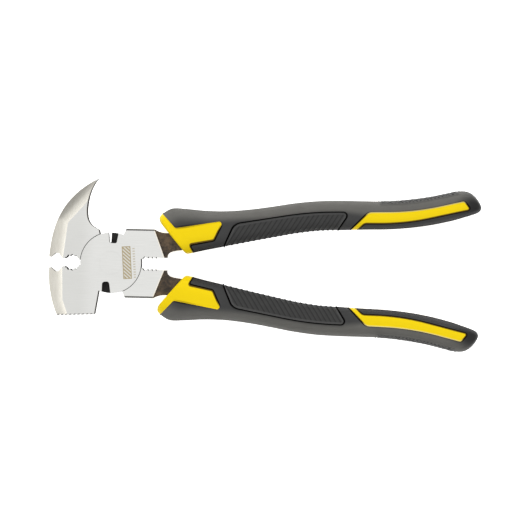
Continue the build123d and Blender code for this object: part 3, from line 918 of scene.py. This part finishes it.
class Forging(Paint):
    """The forgings' paint, which tells one face from another by its place and slope."""

    def __init__(self, name):
        super().__init__(name)
        self.x, self.y, self.z = self.split(self.place())
        facing = self.split(self.node("ShaderNodeTexCoord").outputs["Normal"])
        self.facing_x = facing[0]
        self.slope = self.unsigned(facing[2])
        self.from_lap = self.unsigned(self.minus(self.z, MID_Z))
        self.beside = self.unsigned(self.y)
        self.wall = self.step(self.slope, *WALL)
        right = self.times(self.minus(self.x, BLOCK_BACK[0]), BLOCK_NORMAL[0])
        up = self.times(self.minus(self.beside, BLOCK_BACK[1]), BLOCK_NORMAL[1])
        self.behind_block = self.plus(right, up)
        over_line = self.minus(self.y, MILL_LINE[0])
        self.above_teeth = self.minus(over_line, self.times(self.x, MILL_LINE[1]))
        self.tooth = self.phase(self.minus(self.x, MILL_TOE_X), MILL_STEP)

    def hollow_nose(self):
        """The hollow ground band's face, below the level face and turned towards the nose."""
        sunk = self.step(self.from_lap, MID_Z - NOSE_SUNK[0], MID_Z - NOSE_SUNK[1])
        cove = self.times(self.step(self.slope, *NOSE_SLOPE), sunk)
        return self.times(cove, self.step(self.facing_x, *NOSE_FACING))

    def milled_valleys(self):
        """The bright floors between the striking face's teeth."""
        at_face = self.step(self.above_teeth, *MILL_REACH)
        return self.times(self.wall, self.times(at_face, self.step(self.tooth, *TOOTH_VALLEY)))

    def shaded_bevels(self):
        """The block's bevels, and the slanted edge of each tooth on the striking face, painted with
        shade.
        """
        half_way = self.step(self.unsigned(self.minus(self.slope, HALF_SLOPE)), *BEVEL_SLOPE)
        top = BLOCK_BACK[1]
        at_top = self.step(self.beside, top - BEVEL_BAND[0], top - BEVEL_BAND[1])
        bevel = self.times(self.times(half_way, at_top), self.step(self.x, *BEVEL_FROM))
        slant = self.unsigned(self.minus(self.above_teeth, self.times(self.tooth, TOOTH_SLANT)))
        stroke = self.times(self.step(slant, *TOOTH_STROKE), self.step(self.tooth, *TOOTH_RISE))
        return self.greater(bevel, stroke)

    def back_edge_highlight(self):
        """The block's slanted back edge, with a painted highlight."""
        return self.times(self.step(self.behind_block, *BACK_EDGE),
                          self.step(self.slope, *LEVEL))

    def lap_face(self):
        """The level faces at the lap plane, and the notch floors."""
        return self.times(self.step(self.from_lap, *LAP_NEAR), self.step(self.slope, *LAP_SLOPE))

    def neck(self):
        """Everything behind the block."""
        return self.step(self.behind_block, *NECK_FROM)

    def rim_steps(self):
        """The upright steps round the joint discs, where shade is painted black."""
        square = self.plus(self.times(self.x, self.x), self.times(self.y, self.y))
        off_rim = self.unsigned(self.minus(self.math("SQRT", square), DISC_R + RIM_GAP / 2))
        return self.times(self.wall, self.step(off_rim, RIM_GAP, RIM_GAP * 0.7))

    def rear_jaw_walls(self):
        """The upright faces between the rear wire jaws, where shade is painted black."""
        return self.times(self.wall, self.step(self.beside, *REAR_JAWS))

    def badge_mark(self, across, along):
        """The generic badge: a hatched frame and a row of plain dashes beside it."""
        beside, beyond = self.unsigned(across), self.unsigned(along)
        half_w, half_l = PANEL_SIZE[0] / 2, PANEL_SIZE[1] / 2
        edge = self.greater(self.minus(beside, half_w), self.minus(beyond, half_l))
        inside = self.step(edge, 0.05, -0.05)
        border = self.times(inside, self.step(edge, -PANEL_LINE - 0.05, -PANEL_LINE + 0.05))
        diagonal = self.wave(self.plus(across, along), HATCH_PITCH)
        hatch = self.times(inside, self.step(diagonal, -0.3, 0.1))
        off_row = self.unsigned(self.minus(across, DASH_OFFSET))
        in_row = self.step(off_row, DASH_HALF + 0.05, DASH_HALF - 0.05)
        dashes = self.times(in_row, self.step(self.wave(along, DASH_PITCH), 0.0, 0.3))
        dashes = self.times(dashes, self.step(beyond, half_l - 0.4, half_l - 0.5))
        tint = self.greater(self.times(inside, 0.2), self.times(dashes, 0.6))
        return self.greater(self.greater(border, hatch), tint)

    def etched_badge(self):
        """The badge's mark, on the front disc's level face only."""
        right = self.minus(self.x, PANEL_CENTRE[0])
        up = self.minus(self.y, PANEL_CENTRE[1])
        cosine, sine = math.cos(PANEL_TURN), math.sin(PANEL_TURN)
        across = self.plus(self.times(right, cosine), self.times(up, sine))
        along = self.minus(self.times(up, cosine), self.times(right, sine))
        on_top = self.step(self.z, HEAD_T - 0.2, HEAD_T - 0.1)
        front = self.times(on_top, self.step(self.slope, *LEVEL))
        return self.times(self.badge_mark(across, along), front)


def steel():
    """Ground head faces, a polished hollow ground nose tinted with a painted reflection, and black
    oxide on neck and lap faces, with painted shade and highlights on walls, steps, bevels and
    edges.
    """
    p = Forging("ground_steel")
    brush = brush_marks(p)
    ground = p.mix(p.times(p.step(p.x, *NOSE_GREY), 0.25), p.mix(brush, *STEEL), STEEL_NOSE)
    # the hollow ground nose's beige is a painted reflection
    polish = p.mix(p.noise(0.8, stretch=(1.2, 0.25, 0.6)), *STEEL_NOSE_REFLECTION)
    nose = p.hollow_nose()
    colour = p.mix(nose, ground, polish)
    # upright walls: dark forged skin, darkened further with painted shade
    colour = p.mix(p.wall, colour, p.mix(p.noise(0.9), *STEEL_SKIN_AND_SHADE))
    colour = p.mix(p.milled_valleys(), colour, STEEL_MILLED)
    # painted shade on the block's bevels and the teeth's slanted edges
    colour = p.mix(p.times(p.shaded_bevels(), 0.85), colour, STEEL_BEVEL_SHADE)
    # painted highlight along the block's back edge
    colour = p.mix(p.times(p.back_edge_highlight(), 0.8), colour, STEEL_BACK_EDGE_HIGHLIGHT)
    neck, lap = p.neck(), p.lap_face()
    # black: oxide on the neck and lap faces, and painted shade on the rim steps and rear jaw walls
    black = p.greater(p.greater(neck, p.rear_jaw_walls()), p.greater(lap, p.rim_steps()))
    scale = p.blend(0.5, p.noise(0.55, 5, roughness=0.65), p.noise(0.16))
    brown = p.mix(p.step(scale, *OXIDE_PATCH), *OXIDE)
    colour = p.mix(black, colour, p.mix(p.step(neck, 0.4, 0.6), OXIDE_AND_SHADE_BLACK, brown))
    # edge wear, partly a painted glint along the sharp edges
    wear = p.times(p.edge_wear_and_glint(WEAR_AND_GLINT_RADIUS), p.minus(1.0, lap))
    colour = p.mix(p.times(wear, 0.5), colour, STEEL_WEAR_AND_GLINT)
    badge = p.etched_badge()
    colour = p.mix(p.times(badge, 0.85), colour, ETCH)
    rough = p.blend(brush, *STEEL_ROUGH)
    for share, level in ((nose, 0.24), (black, 0.5), (badge, 0.6), (p.wall, 0.85)):
        rough = p.blend(share, rough, level)
    metal = p.blend(p.greater(p.wall, black), 1.0, 0.0)
    marks = p.minus(p.blend(black, p.times(brush, 0.35), scale), p.times(badge, 0.5))
    return p.finish(colour, rough, metal, normal=p.bump(marks, 0.05, 0.35, p.soft_edges(SOFT_EDGE)),
                    Specular_IOR_Level=p.blend(p.wall, STEEL_SHINE, 0.0))


def rivet_steel():
    """Ground flush with the head, so it carries the same brush marks."""
    p = Paint("rivet_steel")
    brush = brush_marks(p)
    return p.finish(p.mix(brush, *STEEL), p.blend(brush, *STEEL_ROUGH), 1.0,
                    normal=p.bump(brush, 0.05, 0.15))


def dress_steel():
    """Gives the two forgings and the rivet their materials."""
    forging = steel()
    paints = {"hammer_half": forging, "claw_half": forging, "pivot_rivet": rivet_steel()}
    for name, paint in paints.items():
        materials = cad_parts[name].data.materials
        materials.clear()
        materials.append(paint)


# ---- studio ------------------------------------------------------------------------------------
def area_light(name, place, size, power):
    """A soft white light at this place in mm, turned to the tool's middle."""
    data = bpy.data.lights.new(name, "AREA")
    data.shape = "RECTANGLE"
    data.size, data.size_y = (s * MM for s in size)
    data.energy = power
    obj = stand(name, data)
    obj.location = [c * MM for c in place]
    aim = Vector((CAMERA_CENTRE[0] * MM, 0, 0)) - obj.location
    obj.rotation_euler = aim.to_track_quat("-Z", "Y").to_euler()
    return obj


def light_room():
    """A white room: bright low end, dim low sides and one dim corner, with two soft lights."""
    world = bpy.data.worlds.new("room")
    bpy.context.scene.world = world
    world.use_nodes = True
    background = world.node_tree.nodes["Background"]
    background.inputs["Color"].default_value = (1, 1, 1, 1)
    p = Nodes(world.node_tree)
    direction = p.node("ShaderNodeTexCoord").outputs["Generated"]
    x, y, z = p.split(direction)
    low = p.step(p.unsigned(z), 0.45, 0.15)
    side = p.times(low, p.step(p.unsigned(y), 0.55, 0.9))
    end = p.times(low, p.step(x, -0.5, -0.8))
    corner = p.step(p.dot(direction, DIM_CORNER), *CORNER_FADE)
    walls = p.blend(side, ROOM_LIGHT, ROOM_LIGHT * SIDE_SHARE)
    walls = p.blend(corner, walls, ROOM_LIGHT * CORNER_SHARE)
    p.feed(background.inputs["Strength"], p.blend(end, walls, ROOM_LIGHT * END_SHARE))
    area_light("overhead", *OVERHEAD)
    side_light = area_light("side_up", *SIDE_UP)
    # it brightens the +Y sides of the grips, and the polished steel doesn't mirror it
    side_light.visible_glossy = False


def lay_floor():
    """A pale glowing floor just below the grips."""
    low = CAD_BOX[0][2] - FLOOR_GAP * MM
    corners = [(-1, -1), (1, -1), (1, 1), (-1, 1)]
    floor = bpy.data.meshes.new("floor")
    floor.from_pydata([(x * FLOOR_REACH, y * FLOOR_REACH, low) for x, y in corners],
                      [], [(0, 1, 2, 3)])
    p = Paint("pale_floor")
    floor.materials.append(p.finish((0.9, 0.9, 0.9, 1), 0.9, Emission_Color=(1, 1, 1, 1),
                                    Emission_Strength=FLOOR_GLOW))
    stand("floor", floor)


def place_camera():
    """The camera straight above, looking down."""
    data = bpy.data.cameras.new("camera")
    data.sensor_width = CAMERA_SENSOR
    data.lens = CAMERA_SENSOR * CAMERA_HEIGHT / FIELD_WIDTH
    data.clip_end = CAMERA_REACH
    camera = stand("camera", data)
    x, y = CAMERA_CENTRE
    camera.location = (x * MM, y * MM, (MID_Z + CAMERA_HEIGHT) * MM)
    camera.rotation_euler = (0, 0, CAMERA_ROLL)
    bpy.context.scene.camera = camera
    bpy.context.scene.view_settings.view_transform = "Standard"


build_grips()
dress_steel()
lay_floor()
light_room()
place_camera()
